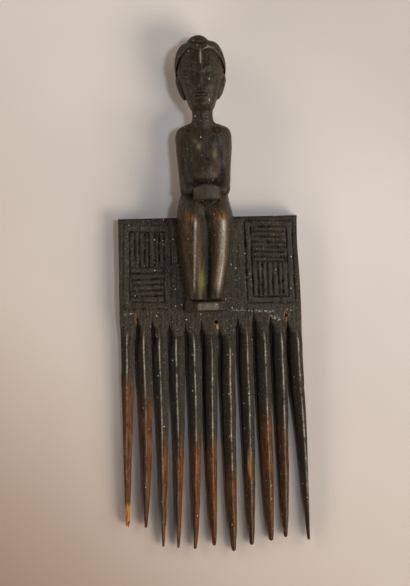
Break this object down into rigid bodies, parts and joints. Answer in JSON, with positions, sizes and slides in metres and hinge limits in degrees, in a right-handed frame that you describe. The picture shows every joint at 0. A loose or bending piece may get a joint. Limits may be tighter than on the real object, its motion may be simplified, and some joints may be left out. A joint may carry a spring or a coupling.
{
  "type": "figural comb",
  "caption": "Hand-carved wooden comb with long ridged teeth, a reeded plate and a seated figure as its handle.",
  "frame": {"origin": "middle of the comb plate's flat back face", "axes": "+Z out of the carved front, +Y from the tooth tips towards the figure's head, +X to the right as seen from the front"},
  "size_m": [0.083, 0.2325, 0.0243],
  "materials": {
    "figure_wood": "dark polished patina",
    "plate_wood": "dark satin patina",
    "tooth_wood": "dark patina, worn to brown"
  },
  "bodies": {
    "root": {"comb_plate": "plate_wood", "tooth_01": "tooth_wood", "tooth_02": "tooth_wood", "tooth_03": "tooth_wood", "tooth_04": "tooth_wood", "tooth_05": "tooth_wood", "tooth_06": "tooth_wood", "tooth_07": "tooth_wood", "tooth_08": "tooth_wood", "tooth_09": "tooth_wood", "tooth_10": "tooth_wood", "tooth_11": "tooth_wood", "feet": "figure_wood", "left_leg": "figure_wood", "right_leg": "figure_wood", "hips": "figure_wood", "torso": "figure_wood", "left_arm": "figure_wood", "right_arm": "figure_wood", "hands": "figure_wood", "neck": "figure_wood", "head": "figure_wood", "hair_knot": "figure_wood"}
  },
  "joints": []
}
